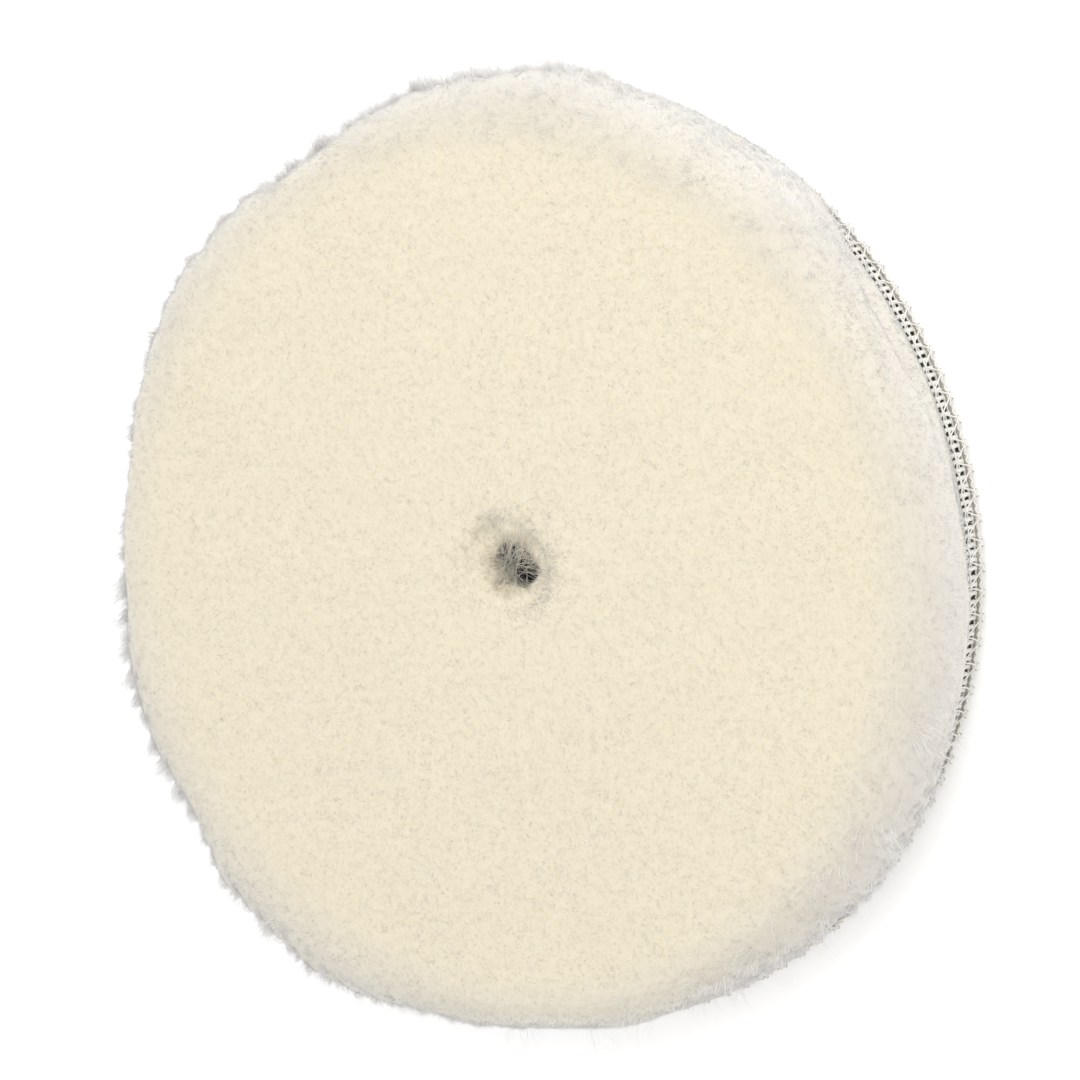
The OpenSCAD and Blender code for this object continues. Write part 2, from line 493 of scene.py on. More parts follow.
# How far the loose tufts reach, in mm
TUFTS = [
    (0, 4.8), (15, 4.2), (30, 2.6), (60, 2.4), (82, 4.2), (105, 3.8), (130, 2.6), (150, 1.4), (165, 0.5),
    (190, 0.4), (205, 1.6), (225, 1.0), (250, 0.0), (290, 0.0), (303, 0.4), (325, 1.0), (342, 2.6),
]
# How far round the edge from the face the tufts start, in mm
TUFT_START = [
    (0, 10.0), (45, 7.0), (90, 5.0), (135, 5.5), (180, 9.0), (225, 11.0), (270, 14.0), (315, 13.0),
]
# How much the tufts and hairs lean round the pad
LEANS = [
    (0, 0.1), (45, 0.1), (80, 0.6), (110, 0.4), (140, 0.2), (200, -0.2), (225, -0.4), (260, 0.0), (300, 0.6),
    (330, 0.3),
]
# How many stray hairs there are, as a share
STRAYS = [
    (0, 0.8), (40, 0.3), (90, 0.4), (130, 0.2), (160, 0.1), (185, 0.3), (205, 0.9), (230, 0.6), (250, 0.1),
    (290, 0.1), (304, 0.9), (335, 1.0),
]
# How much the pile hangs over the seam, as a share
HANG = [(8, 0.0), (180, 0.0), (298, 0.0), (309, 1.0), (335, 1.0), (350, 0.4)]
# How far the wool closes in over the centring hole, in mm past the plain funnel
MOUTH = [(20, -0.6), (60, 0.6), (110, 1.4), (160, 0.6), (205, -0.8), (240, -1.2), (290, 0.2), (335, 0.6)]


def round_curve(phi, knots):
    """A smooth closed curve through [(degrees, value)], read at the angles phi."""
    at, value = np.array(knots, float).T
    x = np.degrees(phi) % 360
    i = np.searchsorted(at, x, side="right") - 1
    n = len(at)
    span = (np.roll(at, -1) - at) % 360
    t = ((x - at[i]) % 360) / span[i]
    t = t * t * (3 - 2 * t)
    return value[i] + t * (value[(i + 1) % n] - value[i])


class Envelope:
    """The surface that the pile's tips reach, by distance s along its section from the hole to the seam."""

    def __init__(self):
        step = 0.25 * MM
        u = np.linspace(0, 1, 34)
        funnel = np.stack([MOUTH_R + LIP * u, FACE_Z - LIP_DEPTH * (1 - u) ** 1.7], axis=-1)
        p = outline(
            line((MOUTH_R, MOUTH_LOW), (MOUTH_R, FACE_Z - LIP_DEPTH), step),
            funnel,
            line((MOUTH_R + LIP, FACE_Z), (PILE_R - EDGE, FACE_Z), step),
            arc((PILE_R - EDGE, FACE_Z - EDGE), EDGE, 90, 0, 56),
            line((PILE_R, FACE_Z - EDGE), (PILE_R, SIDE_Z), step),
            line((PILE_R, SIDE_Z), (PAD_R + FLARE_START, PILE_LOW), step),
        )
        self.p = p
        self.s = np.concatenate([[0], np.cumsum(np.linalg.norm(np.diff(p, axis=0), axis=1))])
        t = unit(np.gradient(p, self.s, axis=0))
        # rounds the corners of the flank, so that the fibres fan out there
        for _ in range(6):
            t[1:-1] = unit(t[:-2] + 2 * t[1:-1] + t[2:])
        self.n = np.stack([-t[:, 1], t[:, 0]], axis=-1)
        self.area = np.concatenate([[0], np.cumsum((p[1:, 0] + p[:-1, 0]) / 2 * np.diff(self.s))])

    def at_share(self, share):
        """s at which this share of the area lies before it."""
        return np.interp(share * self.area[-1], self.area, self.s)

    def at_radius(self, r):
        """s where the flat of the wool face reaches radius r."""
        top = np.abs(self.p[:, 1] - FACE_Z) < 1e-6
        return np.interp(r, self.p[top, 0], self.s[top])

    def place(self, s, phi):
        """Points, normals, and the two tangents (down the section, round the pad)."""
        r, z = (np.interp(s, self.s, self.p[:, i]) for i in (0, 1))
        z = z - DROOP * round_curve(phi, HANG) * smooth_step(s, self.s[-1] - 10 * MM, self.s[-1])
        nr, nz = (np.interp(s, self.s, self.n[:, i]) for i in (0, 1))
        c, q = np.cos(phi), np.sin(phi)
        n = unit(np.stack([nr * c, nr * q, nz], axis=-1))
        t2 = np.stack([-q, c, 0 * c], axis=-1)
        p = np.stack([r * c, r * q, z], axis=-1)
        return p, n, np.cross(t2, n), t2


ENV = Envelope()
FUNNEL_END = ENV.at_radius(MOUTH_R + LIP)
FACE_END = ENV.at_radius(PILE_R - EDGE)
SEAM_END = ENV.s[-1]
AREA_MM2 = ENV.area[-1] * TAU / MM**2


def cells_round(phi, count, narrow, wide, seed):
    """Cells of different widths round the pad: which one phi is in, and how far across it, 0 to 1."""
    widths = np.random.default_rng(seed).uniform(narrow, wide, count)
    edges = np.concatenate([[0], np.cumsum(widths)]) * 360 / widths.sum()
    x = np.degrees(phi) % 360
    i = np.clip(np.searchsorted(edges, x, side="right") - 1, 0, count - 1)
    return i, (x - edges[i]) / (edges[i + 1] - edges[i])


def lobes(phi):
    """Rounded lobes of different widths round the side, lowest where two of them meet."""
    count = 54
    i, u = cells_round(phi, count, 4.5, 9.0, 12)
    height = np.random.default_rng(13).uniform(0.5, 1.4, count)[i]
    return (4 * u * (1 - u)) ** 0.8 * height - 0.9 * height


def spikes(phi):
    """Pointed tufts side by side round the pad: how tall each place is, and -1 to 1 across its tuft."""
    count = 119
    i, u = cells_round(phi, count, 3.2, 6.4, 21)
    across = 2 * u - 1
    height = np.random.default_rng(22).uniform(0.15, 1, count)[i]
    return height * (1 - np.abs(across)) ** 1.2, across


def swell(p, phi, s):
    """How far the pile's surface stands off the plain section, by place."""
    lumps = 0.22 * MM * noise(p, 11 * MM, 11) + 0.06 * MM * noise(p, 5 * MM, 12)
    side = smooth_step(s, FACE_END, FACE_END + 10 * MM)
    low = smooth_step(s, FACE_END + 4 * MM, FACE_END + 12 * MM)
    fade = np.clip((SEAM_END - s) / (4 * MM), 0, 1)
    hang = round_curve(phi, HANG) * 1.0 * MM * smooth_step(s, SEAM_END - 9 * MM, SEAM_END - 2 * MM)
    shift = 0.03 * noise(p, 12 * MM, 14)
    lobed = round_curve(phi, LOBES) * lobes(phi + shift) * fade * low
    full = np.maximum(round_curve(phi, FULL) + lobed, DEEPEST_DIP)
    mouth = 1 - smooth_step(s, 0, FUNNEL_END)
    closing = round_curve(phi, MOUTH) * MM + 0.5 * MM * noise(p, 2.5 * MM, 15)
    return lumps + side * fade * full * MM + hang + mouth * closing


# ---------------------------------------------------------------- wool

def wool_body(material):
    """The dense under-wool that the fibres grow through, closed, from the cloth to just under the tips."""
    rows, flank_rows, count = 118, 56, 640
    flank, corner, off = 34 * MM, 4.5 * MM, 0.05 * MM
    down = np.linspace(SEAM_END, SEAM_END - flank, flank_rows)
    over = np.linspace(SEAM_END - flank - 1 * MM, 0, rows - flank_rows)
    phi = TAU * np.arange(count) / count
    s, phi = (x.ravel() for x in np.meshgrid(np.concatenate([down, over]), phi, indexing="ij"))
    p, n, _, _ = ENV.place(s, phi)
    deepest = BODY_DEPTH + 0.14 * MM * (1 - smooth_step(s, 0, 9 * MM))
    inset = np.clip(0.35 * MM + 0.2 * (SEAM_END - s), 0, deepest)
    grain = 0.07 * MM * noise(p, 1.3 * MM, 22) * np.clip((SEAM_END - s) / (3 * MM), 0, 1)
    outer = p + (swell(p, phi, s) - inset + grain)[:, None] * n
    section = outline(
        line((HOLE_R + 1.0 * MM, CLOTH_TOP + off), (FLAT_R, CLOTH_TOP + off), 6 * MM),
        arc((PAD_R - corner, CLOTH_TOP - corner), corner + off, 85, 0, 8),
        line((PAD_R + off, CLOTH_TOP - corner), (PAD_R + off, PILE_LOW + 0.4 * MM), 1 * MM),
    )
    inner, _ = revolve(section, count)
    verts = np.concatenate([inner, outer])
    ob = add_mesh("wool_underlayer", verts, [ring_faces(len(verts) // count, count)], material)
    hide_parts("wool_pile")


def painted_rim_shade_share(s):
    """0 on the face and 1 on the flank: how much of a fibre's colour is the rim's painted shade."""
    return smooth_step(s, FACE_END - 4 * MM, FACE_END + 13 * MM)


def face_fibres(material):
    """The cut pile itself: fine locks sheared to one height, each with a slight lean."""
    rng = np.random.default_rng(101)
    fibres_per_mm2, per = 8.4, 7
    root_r, waist_r = 0.07, 0.058
    locks = int(AREA_MM2 * fibres_per_mm2 / per)
    i = np.arange(locks)
    s = ENV.at_share((i + 0.5) / locks) + rng.normal(0, 0.3 * MM, locks)
    s = np.clip(s, 0, SEAM_END - 0.1 * MM)
    radius = np.maximum(np.interp(s, ENV.s, ENV.p[:, 0]), 3 * MM)
    phi = i * GOLDEN + rng.normal(0, 0.3 * MM, locks) / radius
    p, n, t1, t2 = ENV.place(s, phi)
    r = np.hypot(p[:, 0], p[:, 1])
    high = swell(p, phi, s) + rng.normal(0, 0.03 * MM, locks)

    # lean of each lock: a slow drift over the face, a twist of its own, and in towards the hole
    lean1 = 0.14 * noise(p, 22 * MM, 31) + 0.05 * noise(p, 8 * MM, 32) + rng.normal(0, 0.05, locks)
    lean2 = 0.14 * noise(p, 22 * MM, 33) + 0.05 * noise(p, 8 * MM, 34) + rng.normal(0, 0.05, locks)
    lean1 -= 0.7 * np.exp(-(((r - MOUTH_R - LIP) / (6 * MM)) ** 2)) * (s > FUNNEL_END - 3 * MM)

    each = repeater(per)
    m = locks * per
    frame_of = [each(x) for x in (p, t1, t2, n)]
    o1, o2 = rng.normal(0, 0.42 * MM, (2, m))
    gather = each(np.clip(rng.normal(0.08, 0.12, locks), 0, 0.4))
    depth = np.minimum(rng.uniform(1.7, 2.3, m) * MM, each(0.9 * MM + 0.4 * (SEAM_END - s)))
    tip_n = each(high) + rng.normal(0, 0.1, m) * MM
    length = depth + tip_n - each(high)
    root = moved(*frame_of, o1, o2, each(high) - depth)
    a1 = o1 * (1 - gather) + length * (each(lean1) + rng.normal(0, 0.15, m))
    a2 = o2 * (1 - gather) + length * (each(lean2) + rng.normal(0, 0.15, m))
    tip = moved(*frame_of, a1, a2, tip_n)
    bend = rng.normal(0, 0.1 * MM, (m, 3))
    mid = root + 0.72 * (tip - root) + bend
    radii = rng.uniform(0.8, 1.2, (m, 1)) * np.array([[root_r, waist_r]]) * MM
    # tone falls towards the flank, giving the fibres there the rim's painted shade
    tone = 0.86 + 0.04 * noise(p, 3 * MM, 41) + 0.06 * noise(p, 11 * MM, 42) - 0.75 * painted_rim_shade_share(s)
    tone = np.clip(each(tone) + rng.normal(0, 0.03, m), 0, 1)
    add_fibres("wool_pile_fibres", np.stack([root, mid, tip], axis=1), radii, tone, material)


def rim_tufts(material):
    """The looser tufts that stand out round the side and make the ragged outline."""
    rng = np.random.default_rng(202)
    tufts, per, rounds = 5200, 16, 7.0
    root_r, waist_r = 0.036, 0.027
    i = np.arange(tufts)
    phi = TAU * (i + rng.uniform(-0.5, 0.5, tufts)) / tufts * rounds
    first = FACE_END + round_curve(phi, TUFT_START) * MM
    s = first + (SEAM_END - 0.8 * MM - first) * ((i * 0.618034) % 1)
    rise = smooth_step(s, first, first + 4 * MM)
    far = rng.uniform(0, 1, tufts)
    keep = round_curve(phi, TUFTS) * rise > 0.15
    s, phi, rise, far, first = s[keep], phi[keep], rise[keep], far[keep], first[keep]
    tufts = len(s)
    p, n, t1, t2 = ENV.place(s, phi)
    hang = round_curve(phi, HANG)
    near_seam = np.maximum(np.clip((SEAM_END - s) / (5 * MM), 0, 1), 0.6 * hang)
    tall, across = spikes(phi + 0.03 * noise(p, 12 * MM, 63))
    reach = round_curve(phi, TUFTS) * MM * (0.2 + 0.4 * far**3 + 1.0 * tall) * near_seam * rise
    down = 0.7 * hang * smooth_step(s, first + 8 * MM, SEAM_END)
    lean1 = rng.normal(0, 0.2, tufts) + 0.2 * noise(p, 7 * MM, 61) - 0.3 * (1 - near_seam) + down
    lean2 = rng.normal(0, 0.15, tufts) + 0.15 * noise(p, 9 * MM, 62) + round_curve(phi, LEANS) - 0.4 * across
    high = swell(p, phi, s)

    each = repeater(per)
    m = tufts * per
    frame_of = [each(x) for x in (p, t1, t2, n)]
    o1, o2 = rng.normal(0, 1, (2, m)) * each(0.4 * MM + 0.2 * reach)
    gather = each(np.clip(rng.normal(0.2, 0.15, tufts) + 0.25 * reach / MM, 0.0, 0.85))
    out = each(high) + each(reach) * rng.uniform(0.1, 1.15, m) + rng.normal(0, 0.1 * MM, m)
    depth = np.minimum(2.0 * MM, each(0.9 * MM + 0.4 * (SEAM_END - s)))
    length = depth + each(reach)
    root = moved(*frame_of, o1, o2, each(high) - depth)
    a1 = o1 * (1 - gather) + length * (each(lean1) + rng.normal(0, 0.08, m))
    a2 = o2 * (1 - gather) + length * (each(lean2) + rng.normal(0, 0.08, m))
    tip = moved(*frame_of, a1, a2, out)
    bend = rng.normal(0, 0.05 * MM + 0.05 * length[:, None], (m, 3))
    mid = root + 0.6 * (tip - root) + bend + 0.1 * length[:, None] * frame_of[3]
    radii = rng.uniform(0.8, 1.2, (m, 1)) * np.array([[root_r, waist_r]]) * MM
    # tone rises past each tuft's start, from the rim's painted shade to the fringe's painted light
    tone = 0.4 + 0.5 * each(smooth_step(s, first, first + 3 * MM)) + rng.normal(0, 0.04, m)
    add_fibres("wool_rim_tufts", np.stack([root, mid, tip], axis=1), radii, np.clip(tone, 0, 1), material)


def stray_hairs(material):
    """Fine curled hairs that stand past the tufts, singly and in wisps."""
    rng = np.random.default_rng(303)
    wisps, k = 620, 8
    phi = rng.uniform(0, TAU, wisps)
    phi = phi[rng.uniform(0, 1, wisps) < round_curve(phi, STRAYS)]
    wisps = len(phi)
    s = FACE_END + (SEAM_END - 4 * MM - FACE_END) * rng.uniform(0, 1, wisps)
    lean1, lean2 = rng.normal(0, 0.3, (2, wisps))
    lean2 += round_curve(phi, LEANS)
    turns, start = rng.uniform(0.5, 1.8, wisps), rng.uniform(0, TAU, wisps)
    count = rng.integers(2, 14, wisps)
    each = repeater(count)
    m = count.sum()
    s, phi = each(s) + rng.normal(0, 0.8 * MM, m), each(phi) + rng.normal(0, 0.009, m)
    p, n, t1, t2 = ENV.place(s, phi)
    length = each(rng.uniform(4.0, 8.5, wisps)) * rng.uniform(0.55, 1.1, m) * MM
    down = each(lean1) + rng.normal(0, 0.12, m)
    sideways = each(lean2) + rng.normal(0, 0.12, m)
    way = unit(n + down[:, None] * t1 + sideways[:, None] * t2)
    base = p + (swell(p, phi, s) - 1.2 * MM)[:, None] * n
    e1 = unit(np.cross(way, t1 + 0.3 * t2))
    e2 = np.cross(way, e1)
    t = np.linspace(0, 1, k)[None, :]
    curl = (each(turns) * rng.uniform(0.85, 1.15, m))[:, None]
    wave = TAU * curl * t + (each(start) + rng.normal(0, 0.5, m))[:, None]
    wide = rng.uniform(0.15, 0.6, (m, 1)) * MM * t
    side1, side2 = rng.normal(0, 0.15, (2, m, 1))
    along = length[:, None] * t
    c1 = wide * np.cos(wave) + side1 * along * t
    c2 = wide * np.sin(wave) + side2 * along * t
    paths = base[:, None] + along[..., None] * way[:, None]
    paths = paths + c1[..., None] * e1[:, None] + c2[..., None] * e2[:, None]
    radii = rng.uniform(0.03, 0.045, (m, 1)) * MM * np.linspace(1, 0.7, k - 1)[None, :]
    add_fibres("wool_stray_hairs", paths, radii, rng.uniform(0.0, 0.3, m), material)


def mouth_fibres(material):
    """Fine fibres that cross the mouth of the centring hole and leave a ragged opening."""
    rng = np.random.default_rng(404)
    m = 680
    opening = math.radians(124)
    phi = rng.uniform(0, TAU, m)
    # fewer from two sides, so that the opening runs across between them
    phi = phi[rng.uniform(0, 1, m) < 0.55 + 0.4 * np.cos(2 * (phi - opening))]
    m = len(phi)
    s = 0.3 * MM + 6 * MM * rng.uniform(0, 1, m) ** 1.3
    p, n, _, _ = ENV.place(s, phi)
    away = rng.uniform(0, TAU, m)
    reach = MOUTH_R * np.sqrt(rng.uniform(0, 1, m))
    height = p[:, 2] - rng.uniform(-0.8, 1.5, m) * MM
    aim = np.stack([reach * np.cos(away), reach * np.sin(away), height], axis=-1)
    root = p + (swell(p, phi, s) - 1.5 * MM)[:, None] * n
    tip = root + (aim - root) * rng.uniform(0.7, 1.0, (m, 1))
    one = root + 0.35 * (tip - root) + rng.normal(0, 0.15 * MM, (m, 3)) + [0, 0, 0.35 * MM]
    two = root + 0.7 * (tip - root) + rng.normal(0, 0.2 * MM, (m, 3)) + [0, 0, 0.3 * MM]
    paths = np.stack([root, one, two, tip], axis=1)
    radii = rng.uniform(0.7, 1.1, (m, 1)) * np.array([[0.05, 0.04, 0.03]]) * MM
    add_fibres("wool_mouth_fibres", paths, radii, rng.uniform(0.6, 0.9, m), material)


def hem_fibres(material):
    """Short fibres that hang from the pile's edge over the seam."""
    rng = np.random.default_rng(606)
    m = 12000
    s, phi = SEAM_END - rng.uniform(0, 1.8 * MM, m), rng.uniform(0, TAU, m)
    p, n, t1, t2 = ENV.place(s, phi)
    clump = 0.5 + 0.5 * noise(p, 2.5 * MM, 71)
    length = (rng.uniform(0.8, 2.0, m) + 1.4 * np.clip(clump, 0, 1)) * MM
    root = p + (swell(p, phi, s) - 0.5 * MM)[:, None] * n
    out = rng.uniform(-0.15, 0.45, (m, 1))
    sideways = 0.3 * noise(p, 3 * MM, 72) + rng.normal(0, 0.15, m)
    way = unit(t1 + out * n + sideways[:, None] * t2)
    tip = root + length[:, None] * way + 0.15 * MM * n
    mid = (root + tip) / 2 + 0.2 * MM * n + rng.normal(0, 0.05 * MM, (m, 3))
    radii = rng.uniform(0.7, 1.1, (m, 1)) * np.array([[0.05, 0.04]]) * MM
    # tone mixes the rim's painted shade with the fringe's painted light
    tone = rng.uniform(0.4, 0.8, m)
    add_fibres("wool_hem_fibres", np.stack([root, mid, tip], axis=1), radii, tone, material)


# ---------------------------------------------------------------- threads, knit and nap

def tube(path, radius, sides, plies=0, turns=0.0, depth=0.0):
    """A tube along a closed path (n, 3). With plies, its section is lobed and winds round turns times."""
    n = len(path)
    d = unit(np.roll(path, -1, axis=0) - np.roll(path, 1, axis=0))
    out = unit(path * [1, 1, 0])
    side = unit(np.cross(d, out))
    up = np.cross(side, d)
    a = TAU * np.arange(sides) / sides
    rad = np.full((n, sides), radius)
    if plies:
        gone = np.concatenate([[0], np.cumsum(np.linalg.norm(np.diff(path, axis=0), axis=1))])
        wind = TAU * turns * gone / (gone[-1] + np.linalg.norm(path[0] - path[-1]))
        rad = radius * (1 + depth * np.cos(plies * (a[None] - wind[:, None])))
    ring = np.cos(a)[None, :, None] * up[:, None] + np.sin(a)[None, :, None] * side[:, None]
    verts = path[:, None] + rad[..., None] * ring
    return verts.reshape(-1, 3), ring_faces(n, sides)


def smooth_path(corners, per):
    """A smooth closed curve through cylinder coordinates (angle, radius, height), per points to a corner."""
    p = np.array(corners)
    a, b, c, d = np.roll(p, 1, 0), p, np.roll(p, -1, 0), np.roll(p, -2, 0)
    a[0, 0] -= TAU
    c[-1, 0] += TAU
    d[-2:, 0] += TAU
    t = (np.arange(per) / per)[None, :, None]
    a, b, c, d = (x[:, None] for x in (a, b, c, d))
    k = 0.5 * (2 * b + (c - a) * t + (2 * a - 5 * b + 4 * c - d) * t**2 + (3 * b - a - 3 * c + d) * t**3)
    k = k.reshape(-1, 3)
    return np.stack([k[:, 1] * np.cos(k[:, 0]), k[:, 1] * np.sin(k[:, 0]), k[:, 2]], axis=-1)


def add_threads(material):
    """The overlock seam's three threads, each a round of stitches with a little wobble."""
    thin, twist, lobe = 0.58, 2.2 * MM, 0.16
    step = TAU / STITCHES
    rng = np.random.default_rng(55)
    wob = rng.normal(0, 1, (STITCHES, 6))
    wall = THREAD_WALL_R
    off = THREAD_R + 0.1 * MM
    low = BACK_Z + off
    top = NEEDLE_Z - THREAD_D - 0.1 * MM
    back = BACK_Z - off
    in_r = PAD_R - (NEEDLE_Z - BACK_Z)

    def needle(i):
        return (
            ((i + 0.0) * step, wall - 0.32 * MM, NEEDLE_Z + 0.05 * MM * wob[i, 0]),
            ((i + 0.25) * step, wall + 0.02 * MM, NEEDLE_Z + 0.08 * MM * wob[i, 1]),
            ((i + 0.5) * step, wall + 0.06 * MM, NEEDLE_Z + 0.1 * MM * wob[i, 2]),
            ((i + 0.75) * step, wall + 0.02 * MM, NEEDLE_Z + 0.08 * MM * wob[i, 3]),
        )

    def upper(i):
        return (
            ((i - 0.07 + 0.012 * wob[i, 0]) * step, wall + 0.1 * MM, low + THREAD_D * 0.9),
            ((i + 0.07 + 0.012 * wob[i, 0]) * step, wall + 0.12 * MM, low + THREAD_D * 0.9),
            ((i + 0.2) * step, wall + 0.02 * MM, (low + top) / 2 + 0.2 * MM),
            ((i + 0.29 + 0.015 * wob[i, 1]) * step, wall, top + 0.1 * MM * wob[i, 2]),
            ((i + 0.43 + 0.015 * wob[i, 1]) * step, wall, top + 0.1 * MM * wob[i, 3]),
            ((i + 0.7) * step, wall + 0.02 * MM, (low + top) / 2 + 0.1 * MM * wob[i, 4]),
        )

    def lower(i):
        return (
            ((i - 0.07) * step, wall + 0.22 * MM, low - 0.08 * MM),
            ((i + 0.07) * step, wall + 0.22 * MM, low - 0.08 * MM),
            ((i + 0.16) * step, wall + 0.02 * MM, back),
            ((i + 0.36 + 0.015 * wob[i, 0]) * step, in_r, back),
            ((i + 0.50 + 0.015 * wob[i, 0]) * step, in_r, back),
            ((i + 0.84) * step, wall + 0.02 * MM, back),
        )

    for name, stitch, per, node in (
        ("overlock_needle_thread", needle, 6, "needle_thread"),
        ("overlock_upper_thread", upper, 5, "upper_looper_thread"),
        ("overlock_lower_thread", lower, 5, "lower_looper_thread"),
    ):
        path = smooth_path([corner for i in range(STITCHES) for corner in stitch(i)], per)
        length = np.linalg.norm(path - np.roll(path, -1, 0), axis=1).sum()
        verts, faces = tube(path, THREAD_R * thin, 9, plies=3, turns=round(length / twist), depth=lobe)
        ob = add_mesh(name, verts, [faces], material)
        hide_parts(node)


def knit_wall(z, r):
    """Radius and height for z measured along the cloth, which bends in over the foam's edge."""
    bend, drop = 4.5 * MM, 0.5 * MM
    over = np.clip(z - (CLOTH_TOP - bend), 0, None) / bend
    height = np.where(over > 0, CLOTH_TOP - bend + (bend - drop) * np.sin(over), z)
    return r - bend * (1 - np.cos(over)), height


def knit_pillars(rng):
    """Columns of yarn up the side wall, with a bulge at each loop."""
    rows, sides, pillar, loop = 24, 6, 0.43 * MM, 0.9 * MM
    z = np.linspace(CLOTH_LOW + 0.35 * MM, CLOTH_TOP - 1.5 * MM, rows)
    swing = 0.07 * MM * np.cos(TAU * z / (2 * loop))
    r, height = knit_wall(z, PAD_R - 0.58 * MM)
    thick = pillar * (1 + 0.14 * np.cos(TAU * z / loop))
    thick[[0, -1]] *= 0.4
    i, j, k = np.meshgrid(np.arange(WALES), np.arange(rows), np.arange(sides), indexing="ij")
    a = TAU * (i + 0.06 * rng.normal(0, 1, WALES)[i]) / WALES
    a = a + swing[j] / PAD_R + thick[j] * np.sin(TAU * k / sides) / PAD_R
    rr = r[j] + 0.8 * thick[j] * np.cos(TAU * k / sides)
    verts = np.stack([rr * np.cos(a), rr * np.sin(a), height[j] + 0 * a], axis=-1).reshape(-1, 3)
    i, j, k = np.meshgrid(np.arange(WALES), np.arange(rows - 1), np.arange(sides), indexing="ij")
    here, above, beside = (i * rows + j) * sides, (i * rows + j + 1) * sides, (k + 1) % sides
    faces = np.stack([here + k, here + beside, above + beside, above + k], axis=-1).reshape(-1, 4)
    return verts, faces


def knit_inlays(rng):
    """Laid-in yarns, pulled into steps by the seam, one to each group of three wales."""
    inlay = 0.2 * MM
    t = np.arange(WALES * 4) / 4
    step = np.interp(t % 3, [0, 0.5, 1.5, 2.5, 3], [0.0, -0.3, 0.0, 0.3, 0.0]) * MM
    a = TAU * t / WALES
    made = []
    for z0 in (0.5 * MM, 2.5 * MM, 4.5 * MM, 6.5 * MM):
        wander = 0.06 * MM * np.interp(t, np.arange(WALES), rng.normal(0, 1, WALES), period=WALES)
        along = CLOTH_LOW + z0 + wander + step * (z0 > 1 * MM)
        r, height = knit_wall(along, PAD_R - 0.55 * MM + 0.1 * MM * np.cos(TAU * t))
        made.append(tube(np.stack([r * np.cos(a), r * np.sin(a), height], axis=-1), inlay, 5))
    return made


def knit_edge(rng):
    """The cloth's edge, a small loop to each wale, turned out over the edge of the loop cloth."""
    t = np.arange(WALES * 6) / 6
    grow = 1 + 0.25 * np.interp(t, np.arange(WALES), rng.normal(0, 1, WALES), period=WALES)
    r = PAD_R + 0.12 * MM + 0.36 * MM * np.abs(np.sin(math.pi * t)) * grow
    a = TAU * (t + 0.12 * np.sin(TAU * t)) / WALES
    z = CLOTH_LOW + 0.2 * MM + 0.15 * MM * np.cos(TAU * t)
    return tube(np.stack([r * np.cos(a), r * np.sin(a), z], axis=-1), 0.17 * MM, 5)


def knit(material):
    """The knitted cloth: pillars, the yarns laid in across them, an edge, and a plain disc under the pile."""
    rng = np.random.default_rng(66)
    gap, disc_r = 0.06 * MM, PAD_R - 5 * MM
    section = outline(
        line((HOLE_R, COAT_TOP + gap), (disc_r, COAT_TOP + gap), 4 * MM),
        line((disc_r, CLOTH_TOP - gap), (HOLE_R, CLOTH_TOP - gap), 4 * MM),
    )
    parts = [knit_pillars(rng), *knit_inlays(rng), knit_edge(rng), revolve(section, 180)]
    starts = np.cumsum([0] + [len(v) for v, _ in parts[:-1]])
    verts = np.concatenate([v for v, _ in parts])
    ob = add_mesh("knit_loops", verts, [f + n for (_, f), n in zip(parts, starts)], material)
    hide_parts("knitted_cloth")


def nap_loops(material):
    """The loop nap on the back: a dense bed, and loops that stand out of it."""
    rng = np.random.default_rng(707)
    bed_z, bed_r = 0.75 * MM, HOLE_R + 0.2 * MM
    bed = outline(
        line((bed_r, bed_z), (NAP_R - 0.4 * MM, bed_z), 3 * MM),
        line((NAP_R, BACK_Z - 0.02 * MM), (bed_r, BACK_Z - 0.02 * MM), 3 * MM),
    )
    verts, faces = revolve(bed, 180)
    ob = add_mesh("loop_nap_bed", verts, [faces], material)
    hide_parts("loop_nap")

    n, margin, yarn = 13500, 0.9 * MM, 0.06 * MM
    i = np.arange(n)
    first, last = (HOLE_R + margin) ** 2, (NAP_R - margin) ** 2
    r = np.sqrt(first + (i + 0.5) / n * (last - first))
    phi, turn = i * GOLDEN, rng.uniform(0, TAU, n)
    middle = np.stack([r * np.cos(phi), r * np.sin(phi), np.full(n, 0.95 * MM)], axis=-1)
    wide = rng.uniform(0.35, 0.6, n) * MM
    deep = rng.uniform(0.6, 0.85, n) * MM
    a = np.linspace(0, math.pi, 6)
    across = np.stack([np.cos(turn), np.sin(turn), 0 * turn], axis=-1)
    lean = rng.normal(0, 0.25, (n, 3)) * [1, 1, 0]
    paths = middle[:, None] + (wide[:, None] * np.cos(a))[..., None] * across[:, None]
    paths += (deep[:, None] * np.sin(a))[..., None] * (lean - [0, 0, 1])[:, None]
    radii = np.full((n, len(a) - 1), yarn)
    add_fibres("loop_nap_loops", paths, radii, np.full(n, 0.5), material)


# ---------------------------------------------------------------- build

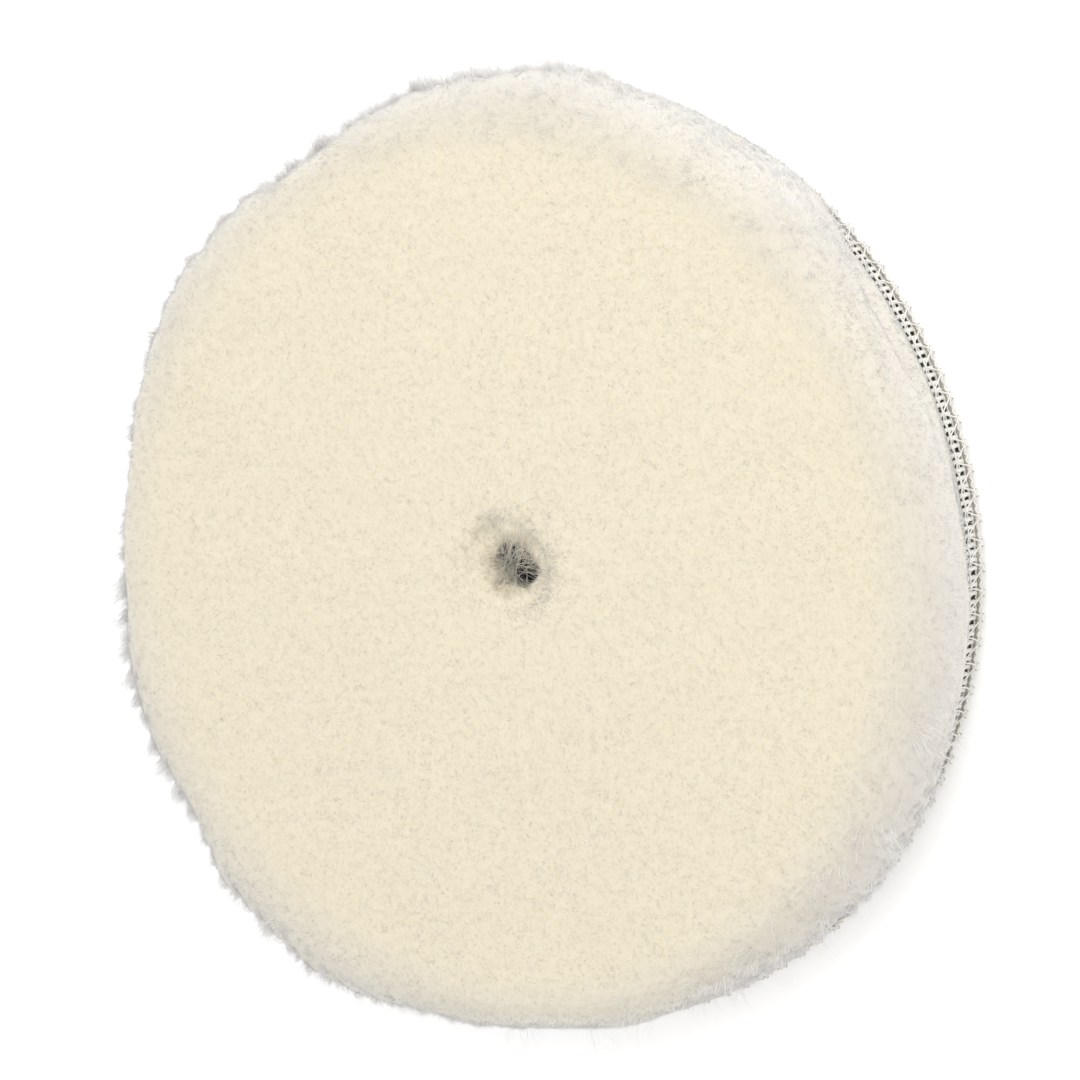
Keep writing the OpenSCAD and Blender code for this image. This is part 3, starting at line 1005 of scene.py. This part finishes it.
# Each set of fibre tones goes from root to tip
FACE_TONES = ((0.745, 0.68, 0.535), (0.765, 0.705, 0.57), (0.775, 0.72, 0.585))
# The rim tones are painted shade: darker and greyer than the face's, for the shade that falls on the flank as
# it turns from the light
SHADED_RIM_TONES = ((0.62, 0.595, 0.555), (0.65, 0.63, 0.59), (0.66, 0.64, 0.61))
# The fringe tones are painted light: paler than the face's, for the light that comes through the loose tufts
# past the edge
LIT_FRINGE_TONES = ((0.82, 0.80, 0.78), (0.87, 0.85, 0.84), (0.90, 0.88, 0.87))
HAIR_TONES = ((0.92, 0.90, 0.88), (0.88, 0.86, 0.85), (0.84, 0.82, 0.81))
WOOL = fibre_material("wool_fibre", FACE_TONES, SHADED_RIM_TONES)
FRINGE = fibre_material("wool_fringe", LIT_FRINGE_TONES, SHADED_RIM_TONES)
HAIR = fibre_material("wool_hair", HAIR_TONES, HAIR_TONES)
# The under-wool's second colour is painted shade on the flank, like the rim tones
UNDER = under_wool_material("wool_underlayer", (0.755, 0.695, 0.555), (0.66, 0.63, 0.58))
KNIT = yarn_material("knit_yarn", (0.76, 0.73, 0.67), (0.88, 0.86, 0.80))
THREAD = yarn_material("overlock_thread", (0.68, 0.66, 0.62), (0.84, 0.82, 0.78))
FOAM = foam_material("charcoal_foam")
COAT = mottled_material(
    "latex_over_foam", (0.03, 0.032, 0.029), (0.08, 0.082, 0.075), 0.8 * MM, 0.55, bump=0.05 * MM
)
GLUE = mottled_material(
    "hot_melt_film", (0.30, 0.29, 0.25), (0.45, 0.43, 0.37), 0.7 * MM, 0.4, bump=0.03 * MM
)
GROUND = woven_material("loop_ground", (0.52, 0.50, 0.46), (0.70, 0.68, 0.63), 0.5 * MM)
NAP = mottled_material(
    "loop_nap", (0.05, 0.053, 0.05), (0.13, 0.135, 0.13), 0.9 * MM, 0.9,
    bump=0.35 * MM, bump_size=0.6 * MM, sheen=0.4,
)

add_camera()
add_floor()
light_scene()

for node, material in (
    ("foam_core", FOAM), ("root_coat", COAT), ("face_glue_film", GLUE), ("back_glue_film", GLUE),
    ("loop_cloth", GROUND),
):
    for place in frame["nodes"][node].material_slots:
        place.material = material

wool_body(UNDER)
face_fibres(WOOL)
rim_tufts(FRINGE)
stray_hairs(HAIR)
mouth_fibres(WOOL)
hem_fibres(FRINGE)
add_threads(THREAD)
knit(KNIT)
nap_loops(NAP)
